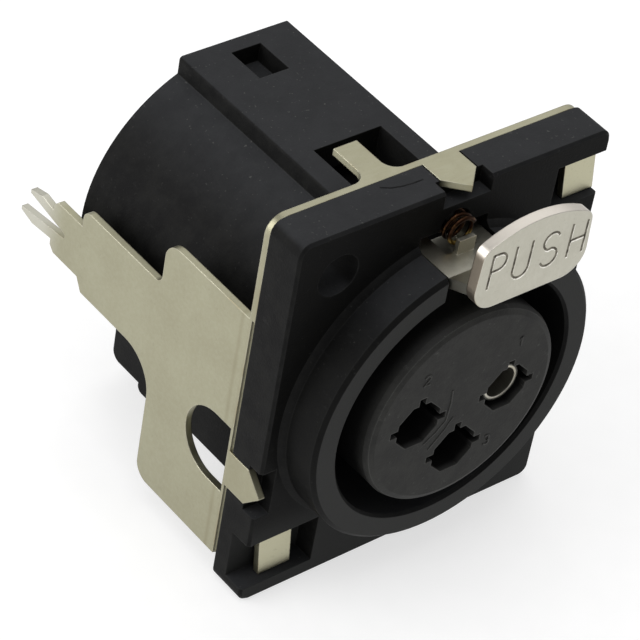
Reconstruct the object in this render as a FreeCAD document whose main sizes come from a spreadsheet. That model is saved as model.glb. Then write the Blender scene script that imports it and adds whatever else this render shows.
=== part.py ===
import FreeCAD, Part
import math
import os
import re
import Sketcher

# Three-pole female panel connector with a push latch, in millimetres.
# +X is right seen from the front, the mating side faces -Y, +Z is up.
# The origin is on the connector's axis, in the flange's front face.

doc = FreeCAD.newDocument("panel_connector")
sheet = doc.addObject("Spreadsheet::Sheet", "Sizes")

# Driving sizes
SIZES = {
    "bore_radius": (9.7, "radius of the mating bore"),
    "bore_lead": (0.2, "chamfer at the mouth of the bore"),
    "barrel_wall": (1.7, "wall of the barrel round the bore"),
    "barrel_back": (23.4, "where the barrel ends behind the flange's front face"),
    "flange_thick": (3.0, "thickness of the flange"),
    "flange_side": (1.6, "how far the flange reaches past the barrel on each side"),
    "flange_ends": (4.1, "how far the flange reaches past the barrel above and below"),
    "flange_corner": (0.9, "corner radius of the flange"),
    "flange_bevel": (0.2, "bevel along the flange's front edges"),
    "screw_side": (3.5, "distance of a screw hole from the flange's side"),
    "screw_ends": (3.5, "distance of a screw hole from the flange's top or bottom"),
    "screw_radius": (1.6, "radius of a screw hole"),
    "ring_step": (0.3, "how much larger the collar ring is than the barrel"),
    "ring_height": (3.2, "how far the collar ring stands forward"),
    "ring_bevel": (0.3, "bevel on the ring's outer edge"),
    "ring_foot": (0.4, "sloping foot between ring and flange"),
    "rear_depth": (6.2, "depth of the rear cavity"),
    "web_thick": (1.7, "thickness of the web that holds the insert"),
    "cavity_wall": (1.8, "wall of the barrel round the rear cavity"),
    "box_width": (9.3, "width of the latch box on top of the barrel"),
    "box_rise": (0.4, "how far the latch box stands above the barrel"),
    "box_edge": (0.25, "rounding of the latch box's long edges"),
    "window_width": (5.7, "width of the window in the latch box"),
    "window_length": (8.0, "length of that window behind the flange"),
    "vent_width": (2.5, "width of the small rear hole in the latch box"),
    "vent_length": (3.2, "length of that hole"),
    "vent_inset": (1.25, "distance of that hole from the barrel's back"),
    "vent_depth": (1.5, "depth of that hole"),
    "foot_side": (6.0, "how far the foot block stays inside the flange's side"),
    "foot_inset": (0.7, "how far its bottom stays above the flange's bottom"),
    "heel_length": (3.2, "length of the raised heel at the foot block's back"),
    "heel_rise": (0.7, "how far the heel is raised"),
    "heel_round": (0.8, "rounding of the heel's rear bottom edge"),
    "foot_round": (0.5, "rounding of the foot block's bottom edge below the heel"),
    "foot_length": (4.0, "length of the foot block's lowest part"),
    "foot_arch": (1.0, "how much higher the block's bottom is in front of that part"),
    "sheet_thick": (0.5, "thickness of the bracket's sheet"),
    "plate_gap": (0.03, "gap between flange and bracket plate"),
    "plate_corner": (1.3, "corner radius of the bracket plate"),
    "plate_clear": (0.15, "clearance of the plate round the barrel"),
    "bend_round": (0.3, "outer radius of the bracket's bends"),
    "wing_top": (7.2, "top of the side wing near the flange"),
    "wing_inset": (2.0, "how far the wing stays above the flange's bottom"),
    "wing_cut": (1.5, "width of the plate's cut corner below the wing"),
    "wing_step": (12.4, "where the wing steps down behind the flange"),
    "wing_corner": (1.4, "corner radius at the top of that step"),
    "wing_notch": (0.7, "radius at the bottom of that step"),
    "wing_shoulder": (3.4, "top of the wing's rear part"),
    "wing_end": (0.8, "corner radius at the end of the rear part"),
    "wing_under": (-3.5, "lower edge of the wing's rear part"),
    "wing_curve": (3.0, "radius of the curve under the rear part"),
    "wing_skirt": (12.3, "back edge of the wing's lower part"),
    "skirt_corner": (1.3, "corner radius at the bottom of that edge"),
    "board_gap": (1.1, "distance from the barrel's back to the circuit board"),
    "shank_length": (3.3, "length of the fork's shank"),
    "shank_lean": (0.6, "slope of the wing below the shank"),
    "fork_height": (-0.31, "height of the fork's middle"),
    "fork_shank": (4.38, "width of the fork's shank"),
    "shank_bevel": (0.45, "bevelled corners at the end of the shank"),
    "fork_width": (2.5, "width over the two prongs at their root"),
    "fork_slot": (0.44, "width of the slot at its closed end"),
    "fork_flare": (0.65, "extra slot width on each side at the tips"),
    "fork_inset": (1.3, "how far the slot reaches into the shank"),
    "fork_reach": (3.5, "how far the lower prong reaches past the board's face"),
    "fork_stagger": (0.85, "how much shorter the upper prong is"),
    "fork_swell": (0.25, "how much each prong swells near its tip"),
    "fork_nose": (1.3, "length of a prong's tapered tip"),
    "fork_blunt": (0.3, "width of a prong's blunt end"),
    "opening_top": (-2.3, "top of the round-ended opening in the wing"),
    "opening_low": (-8.0, "bottom of that opening"),
    "opening_back": (8.0, "round end of that opening"),
    "tab_width": (3.0, "width of the pointed panel tabs"),
    "tab_shoulder": (1.25, "where a panel tab starts to taper"),
    "tab_reach": (0.2, "how far a tab's point stands in front of the flange"),
    "tab_clear": (0.12, "clearance round a panel tab in its notch"),
    "side_tab_height": (-5.65, "height of the left tab's middle"),
    "top_tab_place": (0.65, "sideways place of the top tab's middle"),
    "recess_depth": (1.2, "depth of the front recess round a tab"),
    "recess_side": (0.5, "how far the recess reaches past the tab on each side"),
    "recess_drop": (1.3, "how far the recess reaches in from the flange's edge"),
    "tongue_place": (-4.05, "sideways place of the rear tongue's middle"),
    "tongue_width": (1.9, "width of the rear tongue"),
    "tongue_length": (3.5, "length of the rear tongue behind the plate"),
    "tongue_root": (1.1, "fillet at the tongue's root"),
    "pocket_depth": (1.7, "depth of the corner pockets"),
    "pocket_width": (6.0, "width of the lower left pocket"),
    "pocket_rim": (1.25, "rim left below the lower left pocket"),
    "pocket_height": (4.05, "height of the lower left pocket"),
    "corner_width": (4.4, "width of the upper right pocket"),
    "corner_rim": (1.7, "rim left above the upper right pocket"),
    "corner_height": (3.65, "height of the upper right pocket"),
    "clinch_width": (2.7, "width of the clinched feet"),
    "clinch_inset": (1.9, "inset of the lower foot from the plate's edge"),
    "clinch_gap": (0.1, "gap between a foot and its pocket floor"),
    "clinch_clear": (0.1, "clearance of a foot's riser in its slot"),
    "clinch_lean": (0.5, "how far a foot's lower end leans forward"),
    "slot_width": (5.7, "width of the latch slot through ring and flange"),
    "latch_sheet": (0.8, "thickness of the latch's sheet"),
    "arm_height": (1.5, "height of the arm's top above the bore at rest"),
    "arm_width": (5.3, "width of the latch arm"),
    "arm_relief": (0.32, "how much narrower the bend below the pad is on each side"),
    "arm_bend": (2.9, "where the arm starts to rise forwards"),
    "arm_rise": (1.42, "how much the arm rises to the pad"),
    "arm_room": (0.26, "room left behind the arm at full travel"),
    "ear_width": (6.7, "width over the two ears that run in the flange"),
    "ear_length": (0.8, "length of the ears"),
    "ear_clear": (0.1, "clearance of the ears in their sloping grooves"),
    "hook_reach": (0.8, "how far the hook stands into the bore"),
    "hook_length": (1.1, "length of the hook at its root"),
    "hook_width": (3.4, "width of the hook"),
    "hook_room": (0.3, "room below the hook in the latch slot"),
    "latch_travel": (1.6, "travel of the latch along its slope"),
    "latch_slope": (33.0, "slope of the latch's travel in degrees"),
    "latch_clear": (0.25, "room above the latch at full travel"),
    "pad_front": (7.1, "how far the pad's face stands in front of the flange"),
    "pad_width": (9.5, "width of the push pad at its widest"),
    "pad_taper": (0.25, "how much each side draws in towards the top"),
    "pad_lift": (0.95, "height of the pad's bottom above the arm"),
    "pad_height": (4.75, "height of the pad's sides"),
    "pad_arch": (1.2, "height of the pad's arched top"),
    "pad_toe": (1.8, "radius of the pad's lower corners"),
    "pad_corner": (1.0, "radius of the pad's upper corners"),
    "relief_depth": (0.4, "how far the bend reliefs reach in behind the pad"),
    "spring_radius": (1.0, "radius of the spring's wire centre line"),
    "spring_wire": (0.16, "radius of the spring's wire"),
    "spring_turns": (4.5, "number of the spring's turns"),
    "spring_front": (0.95, "how far the spring's front end stands in front of the flange"),
    "spring_floor": (0.2, "wall of the flange behind the spring"),
    "spring_clear": (0.1, "clearance round the spring"),
    "lug_width": (1.4, "width of the lug in front of the spring"),
    "lug_height": (1.1, "height of that lug above the arm"),
    "lug_thick": (0.4, "thickness of that lug"),
    "shell_gap": (1.8, "width of the ring-shaped gap for the plug's shell"),
    "insert_front": (4.1, "how far the insert's face stands in front of the flange"),
    "insert_bevel": (0.55, "two-step bevel round the insert's face"),
    "insert_clear": (0.1, "clearance of the insert in the web"),
    "insert_flange": (2.0, "thickness of the insert's rear flange"),
    "seat_gap": (0.05, "gap where pieces seat on each other"),
    "contact_circle": (3.81, "distance of each contact from the axis"),
    "contact_radius": (1.5, "outer radius of a contact sleeve"),
    "contact_wall": (0.3, "wall of a contact sleeve"),
    "contact_slit": (0.5, "width of the slit along a sleeve"),
    "contact_recess": (0.6, "how far the first contact lies behind the insert's face"),
    "contact_delay": (2.5, "how much further back the other contacts lie"),
    "contact_back": (12.0, "back end of the sleeve"),
    "contact_floor": (2.0, "closed length at the sleeve's back"),
    "slit_stop": (1.0, "how far the slit stops before the sleeve's floor"),
    "contact_clear": (0.05, "clearance of a contact in the insert"),
    "mouth_room": (0.4, "how much wider a hole's mouth is than its contact"),
    "mouth_depth": (3.0, "depth of a hole's shaped mouth"),
    "spur_reach": (0.45, "how far the narrow spurs reach past the mouth"),
    "spur_width": (0.55, "width of a spur"),
    "tail_width": (1.0, "width of a contact's board tail"),
    "tail_thick": (0.5, "thickness of a contact's board tail"),
    "tail_reach": (2.9, "how far the tails reach past the board's face"),
    "tail_clear": (0.1, "clearance round a tail"),
    "cover_thick": (2.2, "thickness of the rear cover"),
    "cover_clear": (0.1, "clearance of the rear cover in the cavity"),
}
for row, (alias, (number, meaning)) in enumerate(SIZES.items(), start=1):
    sheet.set("A%d" % row, alias)
    sheet.set("B%d" % row, str(number))
    sheet.set("C%d" % row, meaning)
    sheet.setAlias("B%d" % row, alias)
doc.recompute()


def formula(text):
    """An expression with each size read from the sheet."""
    return re.sub(r"[a-z_]+", lambda word: "Sizes." + word.group() if word.group() in SIZES else word.group(), text)


def value(text):
    """The number that an expression on the sizes gives."""
    return float(sheet.evalExpression(formula(text)))


def bind(feature, name, text):
    feature.setExpression(name, formula(text))


# Radii, heights, depths and places worked out from the driving sizes
BARREL = "(bore_radius + barrel_wall)"
RING = "(bore_radius + barrel_wall + ring_step)"
INSERT = "(bore_radius - shell_gap)"
CAVITY = "(bore_radius + barrel_wall - cavity_wall)"
HALF_WIDTH = "(bore_radius + barrel_wall + flange_side)"
HALF_HEIGHT = "(bore_radius + barrel_wall + flange_ends)"
BOX_TOP = "(bore_radius + barrel_wall + box_rise)"
FOOT_HALF = "(%s - foot_side)" % HALF_WIDTH
FOOT_LOW = "(foot_inset - %s)" % HALF_HEIGHT
FOOT_STEP = "(barrel_back - heel_length)"
WEB_BACK = "(barrel_back - rear_depth)"
BOARD = "(barrel_back + board_gap)"
PLATE_FRONT = "(flange_thick + plate_gap)"
PLATE_BACK = "(flange_thick + plate_gap + sheet_thick)"
TONGUE_END = "(%s + tongue_length)" % PLATE_BACK
WING_LOW = "(wing_inset - %s)" % HALF_HEIGHT
WING_BACK = "(%s - shank_length)" % BOARD
POCKET_LOW = "(pocket_rim - %s)" % HALF_HEIGHT
POCKET_TOP = "(pocket_rim + pocket_height - %s)" % HALF_HEIGHT
CORNER_TOP = "(%s - corner_rim)" % HALF_HEIGHT
CORNER_LOW = "(%s - corner_rim - corner_height)" % HALF_HEIGHT
LATCH_LIFT = "(latch_travel * sin(latch_slope))"
LATCH_BACK = "(latch_travel * cos(latch_slope))"
ARM_TOP = "(bore_radius + arm_height)"
ARM_LOW = "(bore_radius + arm_height - latch_sheet)"
ARM_BACK = "(flange_thick - arm_room - %s)" % LATCH_BACK
SLOT_LOW = "(bore_radius - hook_reach - hook_room)"
PAD_BACK = "(latch_sheet - pad_front)"
PAD_LOW = "(%s + pad_lift)" % ARM_TOP
PAD_SIDE_TOP = "(%s + pad_lift + pad_height)" % ARM_TOP
SPRING_ROOM = "(spring_radius + spring_wire + spring_clear)"
SPRING_HEIGHT = "(%s + spring_radius + spring_wire + spring_clear)" % ARM_TOP
SPRING_BACK = "(flange_thick - spring_floor)"
SEAT_FRONT = "(%s + seat_gap)" % WEB_BACK
INSERT_BACK = "(%s + seat_gap + insert_flange)" % WEB_BACK
COVER_FRONT = "(%s + 2 * seat_gap + insert_flange)" % WEB_BACK
MOUTH = "(contact_radius + mouth_room)"


def sketch_on(body, plane, name, offset="0", lift="0"):
    """A sketch on one of the body's own planes, moved along its normal and upwards."""
    sketch = body.newObject("Sketcher::SketchObject", name)
    support = [part for part in body.Origin.OriginFeatures if part.Role == plane + "_Plane"][0]
    sketch.AttachmentSupport = [(support, "")]
    sketch.MapMode = "FlatFace"
    bind(sketch, "AttachmentOffset.Base.z", offset)
    bind(sketch, "AttachmentOffset.Base.y", lift)
    return sketch


def hold_point(sketch, item, end, place):
    """Ties one end or centre of a sketch item to two expressions."""
    for kind, text in zip(("DistanceX", "DistanceY"), place):
        number = sketch.addConstraint(Sketcher.Constraint(kind, -1, 1, item, end, value(text)))
        sketch.setExpression("Constraints[%d]" % number, formula(text))


def outline(sketch, corners):
    """A closed outline. A corner is (x, y), or (x, y, radius, side) where an arc starts there."""
    first = sketch.GeometryCount
    points = [FreeCAD.Vector(value(corner[0]), value(corner[1]), 0) for corner in corners]
    ends = []
    for index, corner in enumerate(corners):
        start = points[index]
        stop = points[(index + 1) % len(corners)]
        if len(corner) == 2:
            sketch.addGeometry(Part.LineSegment(start, stop))
            ends.append((1, 2))
            continue
        radius = value(corner[2])
        chord = stop - start
        sagitta = radius - math.sqrt(max(radius * radius - chord.Length ** 2 / 4, 0))
        middle = (start + stop) / 2 + FreeCAD.Vector(-chord.y, chord.x, 0).normalize() * sagitta * corner[3]
        sketch.addGeometry(Part.Arc(start, middle, stop))
        # an arc is stored anticlockwise, so one that bulges to the left of its run is turned round
        ends.append((2, 1) if corner[3] > 0 else (1, 2))
        round_arc(sketch, first + index, chord, corner)
    for index, corner in enumerate(corners):
        following = (index + 1) % len(corners)
        sketch.addConstraint(Sketcher.Constraint(
            "Coincident", first + index, ends[index][1], first + following, ends[following][0]))
        hold_point(sketch, first + index, ends[index][0], corner[:2])


def round_arc(sketch, item, chord, corner):
    """Holds an arc's radius. A half circle's ends set its radius, so there its centre is held."""
    radius = value(corner[2])
    if not near(chord.Length, 2 * radius):
        number = sketch.addConstraint(Sketcher.Constraint("Radius", item, radius))
        sketch.setExpression("Constraints[%d]" % number, formula(corner[2]))
        return
    kind, text = ("DistanceY", corner[1]) if near(chord.y, 0) else ("DistanceX", corner[0])
    number = sketch.addConstraint(Sketcher.Constraint(kind, -1, 1, item, 3, value(text)))
    sketch.setExpression("Constraints[%d]" % number, formula(text))


def rectangle(sketch, left, right, low, high):
    outline(sketch, [(left, low), (right, low), (right, high), (left, high)])


def circle(sketch, across, up, radius):
    item = sketch.addGeometry(Part.Circle(
        FreeCAD.Vector(value(across), value(up), 0), FreeCAD.Vector(0, 0, 1), value(radius)))
    number = sketch.addConstraint(Sketcher.Constraint("Radius", item, value(radius)))
    sketch.setExpression("Constraints[%d]" % number, formula(radius))
    hold_point(sketch, item, 3, (across, up))


def extrude(body, kind, sketch, name, length, reverse):
    """A pad or pocket, checked so that it adds or removes material."""
    doc.recompute()
    before = body.Shape.Volume if body.Tip else 0.0
    feature = body.newObject("PartDesign::" + kind, name)
    feature.Profile = sketch
    feature.Reversed = reverse
    bind(feature, "Length", length)
    doc.recompute()
    check_change(body, kind == "Pad", before, name)
    return feature


def check_change(body, grows, before, name):
    gain = body.Shape.Volume - before
    if (gain if grows else -gain) <= 1e-6:
        raise RuntimeError(name + " changed nothing")


def pad(body, sketch, name, length, reverse=False):
    return extrude(body, "Pad", sketch, name, length, reverse)


def pocket(body, sketch, name, length, reverse=False):
    return extrude(body, "Pocket", sketch, name, length, reverse)


def turn(body, kind, sketch, name):
    """A revolution or groove about the sketch's own horizontal axis."""
    doc.recompute()
    before = body.Shape.Volume if body.Tip else 0.0
    feature = body.newObject("PartDesign::" + kind, name)
    feature.Profile = sketch
    feature.ReferenceAxis = (sketch, ["H_Axis"])
    feature.Angle = 360.0
    doc.recompute()
    check_change(body, kind == "Revolution", before, name)
    return feature


def edges_of(shape, test):
    """Names of the straight edges whose two ends pass a test."""
    names = []
    for index, edge in enumerate(shape.Edges, start=1):
        if len(edge.Vertexes) == 2 and test(edge.Vertexes[0].Point, edge.Vertexes[1].Point):
            names.append("Edge%d" % index)
    return names


def dress(body, kind, name, size, test):
    """A fillet or chamfer on the edges that pass a test."""
    doc.recompute()
    names = edges_of(body.Shape, test)
    if not names:
        raise RuntimeError(name + " found no edge")
    base = body.Tip
    feature = body.newObject("PartDesign::" + kind, name)
    feature.Base = (base, names)
    bind(feature, "Radius" if kind == "Fillet" else "Size", size)
    doc.recompute()
    return feature


def near(first, second):
    return abs(first - second) < 1e-4


def along(axis, **places):
    """A test for edges along one axis that lie at the given places."""
    def test(start, stop):
        for name in "xyz":
            here = getattr(start, name)
            there = getattr(stop, name)
            if name == axis:
                if near(here, there):
                    return False
            elif not near(here, there):
                return False
            elif name in places and not near(here, value(places[name])):
                return False
        return True
    return test


def new_body(name):
    body = doc.addObject("PartDesign::Body", name)
    body.Label = name
    return body


SCREW_PLACES = (
    ("upper", "screw_side - " + HALF_WIDTH, HALF_HEIGHT + " - screw_ends"),
    ("lower", HALF_WIDTH + " - screw_side", "screw_ends - " + HALF_HEIGHT),
)


# Housing: one moulding with flange, collar ring, barrel, latch box and foot block
def make_housing():
    body = new_body("housing")
    sketch = sketch_on(body, "XZ", "flange_outline")
    rectangle(sketch, "-" + HALF_WIDTH, HALF_WIDTH, "-" + HALF_HEIGHT, HALF_HEIGHT)
    pad(body, sketch, "flange", "flange_thick", reverse=True)
    dress(body, "Fillet", "flange_corners", "flange_corner", along("y"))
    dress(body, "Chamfer", "flange_front_edge", "flange_bevel",
          lambda start, stop: near(start.y, 0) and near(stop.y, 0))
    sketch = sketch_on(body, "XZ", "barrel_outline")
    circle(sketch, "0", "0", BARREL)
    pad(body, sketch, "barrel", "barrel_back", reverse=True)
    sketch = sketch_on(body, "YZ", "ring_profile")
    outline(sketch, [
        ("0", INSERT),
        ("-ring_height", INSERT),
        ("-ring_height", RING + " - ring_bevel"),
        ("ring_bevel - ring_height", RING),
        ("-ring_foot", RING),
        ("0", RING + " + ring_foot"),
    ])
    turn(body, "Revolution", sketch, "ring")
    sketch = sketch_on(body, "XZ", "box_outline")
    rectangle(sketch, "-box_width / 2", "box_width / 2", "0", BOX_TOP)
    pad(body, sketch, "latch_box", "barrel_back", reverse=True)
    add_foot_block(body)
    dress(body, "Fillet", "box_edges", "box_edge", along("y", z=BOX_TOP))
    cut_bore(body)
    cut_latch_room(body)
    cut_windows(body)
    cut_tab_notches(body)
    cut_corner_pockets(body)
    for name, across, up in SCREW_PLACES:
        sketch = sketch_on(body, "XZ", name + "_screw_outline")
        circle(sketch, across, up, "screw_radius")
        pocket(body, sketch, name + "_screw_hole", "flange_thick")
    return body


def add_foot_block(body):
    """The block under the barrel: raised in front, lowest near the back, then a heel."""
    sketch = sketch_on(body, "XZ", "foot_outline")
    rectangle(sketch, "-" + FOOT_HALF, FOOT_HALF, FOOT_LOW, "0")
    pad(body, sketch, "foot_block", FOOT_STEP, reverse=True)
    sketch = sketch_on(body, "XZ", "heel_outline", "-" + FOOT_STEP)
    rectangle(sketch, "-" + FOOT_HALF, FOOT_HALF, FOOT_LOW + " + heel_rise", "0")
    pad(body, sketch, "foot_heel", "heel_length", reverse=True)
    dress(body, "Fillet", "foot_edge", "foot_round", along("x", y=FOOT_STEP, z=FOOT_LOW))
    dress(body, "Fillet", "heel_edge", "heel_round", along("x", y="barrel_back", z=FOOT_LOW + " + heel_rise"))
    sketch = sketch_on(body, "XZ", "foot_arch_outline", "-flange_thick")
    rectangle(sketch, "-1 - " + FOOT_HALF, FOOT_HALF + " + 1", FOOT_LOW + " - 1", FOOT_LOW + " + foot_arch")
    pocket(body, sketch, "foot_arch_cut", FOOT_STEP + " - foot_length - flange_thick")


def cut_bore(body):
    """The mating bore, the web that holds the insert, and the rear cavity."""
    sketch = sketch_on(body, "YZ", "bore_profile")
    outline(sketch, [
        ("-ring_height", "0"),
        ("barrel_back", "0"),
        ("barrel_back", CAVITY),
        (WEB_BACK, CAVITY),
        (WEB_BACK, INSERT + " + insert_clear"),
        (WEB_BACK + " - web_thick", INSERT + " + insert_clear"),
        (WEB_BACK + " - web_thick", "bore_radius"),
        ("bore_lead - ring_height", "bore_radius"),
        ("-ring_height", "bore_radius + bore_lead"),
    ])
    turn(body, "Groove", sketch, "bore")


def cut_latch_room(body):
    """The slot for the latch, the sloping grooves for its ears, and the spring's hole."""
    sketch = sketch_on(body, "XZ", "latch_slot_outline", "ring_height")
    rectangle(sketch, "-slot_width / 2", "slot_width / 2",
              SLOT_LOW, ARM_TOP + " + latch_clear + " + LATCH_LIFT)
    pocket(body, sketch, "latch_slot", "ring_height + flange_thick")
    front = ARM_BACK + " - ear_length - ear_clear"
    back = ARM_BACK + " + ear_clear"
    sketch = sketch_on(body, "YZ", "ear_groove_outline", "-ear_width / 2 - ear_clear")
    outline(sketch, [
        (front, ARM_LOW + " - ear_clear"),
        (back, ARM_LOW + " - ear_clear"),
        (back + " + " + LATCH_BACK, ARM_LOW + " - ear_clear + " + LATCH_LIFT),
        (back + " + " + LATCH_BACK, ARM_TOP + " + ear_clear + " + LATCH_LIFT),
        (front + " + " + LATCH_BACK, ARM_TOP + " + ear_clear + " + LATCH_LIFT),
        (front, ARM_TOP + " + ear_clear"),
    ])
    pocket(body, sketch, "ear_groove", "ear_width + 2 * ear_clear", reverse=True)
    sketch = sketch_on(body, "XZ", "spring_hole_outline")
    outline(sketch, [
        ("-" + SPRING_ROOM, ARM_TOP),
        (SPRING_ROOM, ARM_TOP),
        (SPRING_ROOM, SPRING_HEIGHT, SPRING_ROOM, -1),
        ("-" + SPRING_ROOM, SPRING_HEIGHT),
    ])
    pocket(body, sketch, "spring_hole", SPRING_BACK)


def cut_windows(body):
    """The window over the bore and the small blind hole behind it, both in the latch box."""
    sketch = sketch_on(body, "XY", "window_outline", BOX_TOP)
    rectangle(sketch, "-window_width / 2", "window_width / 2", "flange_thick", "flange_thick + window_length")
    pocket(body, sketch, "window", BOX_TOP + " - " + SLOT_LOW)
    sketch = sketch_on(body, "XY", "vent_outline", BOX_TOP)
    rectangle(sketch, "-vent_width / 2", "vent_width / 2",
              "barrel_back - vent_inset - vent_length", "barrel_back - vent_inset")
    pocket(body, sketch, "vent", "vent_depth")


def cut_tab_notches(body):
    """A notch for each pointed tab in the left and top edges, with a shallow recess in front."""
    cuts = (
        ("notch", "(tab_width / 2 + tab_clear)", "(sheet_thick + tab_clear)", "flange_thick"),
        ("recess", "(tab_width / 2 + recess_side)", "recess_drop", "recess_depth"),
    )
    for name, half, deep, length in cuts:
        sketch = sketch_on(body, "XZ", "side_%s_outline" % name)
        rectangle(sketch, "-1 - " + HALF_WIDTH, deep + " - " + HALF_WIDTH,
                  "side_tab_height - " + half, "side_tab_height + " + half)
        pocket(body, sketch, "side_" + name, length)
        sketch = sketch_on(body, "XZ", "top_%s_outline" % name)
        rectangle(sketch, "top_tab_place - " + half, "top_tab_place + " + half,
                  HALF_HEIGHT + " - " + deep, HALF_HEIGHT + " + 1")
        pocket(body, sketch, "top_" + name, length)


def cut_corner_pockets(body):
    """Pockets where the bracket's two clinched feet lie, with a slot for each riser."""
    riser = "(sheet_thick + 2 * clinch_clear)"
    pockets = (
        ("lower_pocket", "-1 - " + HALF_WIDTH, "pocket_width - " + HALF_WIDTH, POCKET_LOW, POCKET_TOP, "pocket_depth"),
        ("lower_riser_slot", "clinch_inset - clinch_clear - " + HALF_WIDTH,
         "clinch_inset + clinch_width + clinch_clear - " + HALF_WIDTH,
         POCKET_TOP + " - " + riser, POCKET_TOP, "flange_thick"),
        ("upper_pocket", HALF_WIDTH + " - corner_width", HALF_WIDTH + " + 1", CORNER_LOW, CORNER_TOP, "pocket_depth"),
        ("upper_riser_slot", HALF_WIDTH + " - clinch_width - clinch_clear", HALF_WIDTH + " + 1",
         CORNER_TOP + " - " + riser, CORNER_TOP, "flange_thick"),
    )
    for name, left, right, low, high, depth in pockets:
        sketch = sketch_on(body, "XZ", name + "_outline")
        rectangle(sketch, left, right, low, high)
        pocket(body, sketch, name, depth)


# Ground bracket: one stamped sheet folded round the flange
def make_bracket():
    body = new_body("ground_bracket")
    sketch = sketch_on(body, "XZ", "plate_outline", "-" + PLATE_FRONT)
    outline(sketch, [
        ("-" + HALF_WIDTH, WING_LOW),
        ("wing_cut - " + HALF_WIDTH, WING_LOW),
        ("wing_cut - " + HALF_WIDTH, "-" + HALF_HEIGHT),
        (HALF_WIDTH, "-" + HALF_HEIGHT),
        (HALF_WIDTH, HALF_HEIGHT),
        ("-" + HALF_WIDTH, HALF_HEIGHT),
    ])
    pad(body, sketch, "plate", "sheet_thick", reverse=True)
    dress(body, "Fillet", "plate_corners", "plate_corner", along("y", z=HALF_HEIGHT))
    cut_plate(body)
    sketch = sketch_on(body, "YZ", "wing_outline", "-" + HALF_WIDTH)
    outline(sketch, wing_corners())
    pad(body, sketch, "wing", "sheet_thick")
    cut_wing(body)
    add_tabs(body)
    add_clinched_feet(body)
    add_tongue(body)
    return body


def cut_plate(body):
    """The plate's hole follows the barrel and the two blocks on it."""
    sketch = sketch_on(body, "XZ", "barrel_hole_outline", "-" + PLATE_FRONT)
    circle(sketch, "0", "0", BARREL + " + plate_clear")
    pocket(body, sketch, "barrel_hole", "sheet_thick")
    sketch = sketch_on(body, "XZ", "box_hole_outline", "-" + PLATE_FRONT)
    rectangle(sketch, "-box_width / 2 - plate_clear", "box_width / 2 + plate_clear",
              "0", BOX_TOP + " + plate_clear")
    pocket(body, sketch, "box_hole", "sheet_thick")
    sketch = sketch_on(body, "XZ", "foot_hole_outline", "-" + PLATE_FRONT)
    rectangle(sketch, "-" + FOOT_HALF + " - plate_clear", FOOT_HALF + " + plate_clear",
              "-1 - " + HALF_HEIGHT, "0")
    pocket(body, sketch, "foot_hole", "sheet_thick")
    for name, across, up in SCREW_PLACES:
        sketch = sketch_on(body, "XZ", name + "_plate_screw_outline", "-" + PLATE_FRONT)
        circle(sketch, across, up, "screw_radius")
        pocket(body, sketch, name + "_plate_screw_hole", "sheet_thick")


def wing_corners():
    """Side view of the wing: stepped top, shank, two prongs and curved skirt."""
    shank = "fork_shank / 2"
    prong = "fork_width / 2"
    swell = "fork_width / 2 + fork_swell"
    slot = "fork_slot / 2"
    flare = "fork_slot / 2 + fork_flare"
    blunt = "fork_slot / 2 + fork_flare + fork_blunt"
    low_tip = BOARD + " + fork_reach"
    high_tip = low_tip + " - fork_stagger"
    crotch = BOARD + " - fork_inset"
    return [
        (PLATE_FRONT, "wing_top"),
        ("wing_step - wing_corner", "wing_top", "wing_corner", 1),
        ("wing_step", "wing_top - wing_corner"),
        ("wing_step", "wing_shoulder + wing_notch", "wing_notch", -1),
        ("wing_step + wing_notch", "wing_shoulder"),
        (WING_BACK + " - wing_end", "wing_shoulder", "wing_end", 1),
        (WING_BACK, "wing_shoulder - wing_end"),
        (WING_BACK, "fork_height + " + shank),
        (BOARD + " - shank_bevel", "fork_height + " + shank),
        (BOARD, "fork_height - shank_bevel + " + shank),
        (BOARD, "fork_height + " + prong),
        (high_tip + " - fork_nose", "fork_height + " + swell),
        (high_tip, "fork_height + " + blunt),
        (high_tip, "fork_height + " + flare),
        (crotch, "fork_height + " + slot, slot, -1),
        (crotch, "fork_height - " + slot),
        (low_tip, "fork_height - (" + flare + ")"),
        (low_tip, "fork_height - (" + blunt + ")"),
        (low_tip + " - fork_nose", "fork_height - (" + swell + ")"),
        (BOARD, "fork_height - " + prong),
        (BOARD, "fork_height + shank_bevel - " + shank),
        (BOARD + " - shank_bevel", "fork_height - " + shank),
        (WING_BACK, "fork_height - " + shank),
        (WING_BACK + " - shank_lean", "wing_under"),
        ("wing_skirt + wing_curve", "wing_under", "wing_curve", -1),
        ("wing_skirt", "wing_under - wing_curve"),
        ("wing_skirt", WING_LOW + " + skirt_corner", "skirt_corner", 1),
        ("wing_skirt - skirt_corner", WING_LOW),
        (PLATE_FRONT, WING_LOW),
    ]


def cut_wing(body):
    """The round-ended opening behind the left tab, and the rounded bend."""
    sketch = sketch_on(body, "YZ", "wing_opening_outline", "-" + HALF_WIDTH)
    half = "((opening_top - opening_low) / 2)"
    outline(sketch, [
        (PLATE_BACK, "opening_low"),
        ("opening_back - " + half, "opening_low", half, -1),
        ("opening_back - " + half, "opening_top"),
        (PLATE_BACK, "opening_top"),
    ])
    pocket(body, sketch, "wing_opening", "sheet_thick", reverse=True)
    sketch = sketch_on(body, "XY", "wing_bend_outline", WING_LOW)
    outline(sketch, [
        ("-1 - " + HALF_WIDTH, PLATE_FRONT + " - 1"),
        ("bend_round - " + HALF_WIDTH, PLATE_FRONT + " - 1"),
        ("bend_round - " + HALF_WIDTH, PLATE_FRONT, "bend_round", -1),
        ("-" + HALF_WIDTH, PLATE_FRONT + " + bend_round"),
        ("-1 - " + HALF_WIDTH, PLATE_FRONT + " + bend_round"),
    ])
    pocket(body, sketch, "wing_bend", "wing_top - " + WING_LOW, reverse=True)


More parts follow.
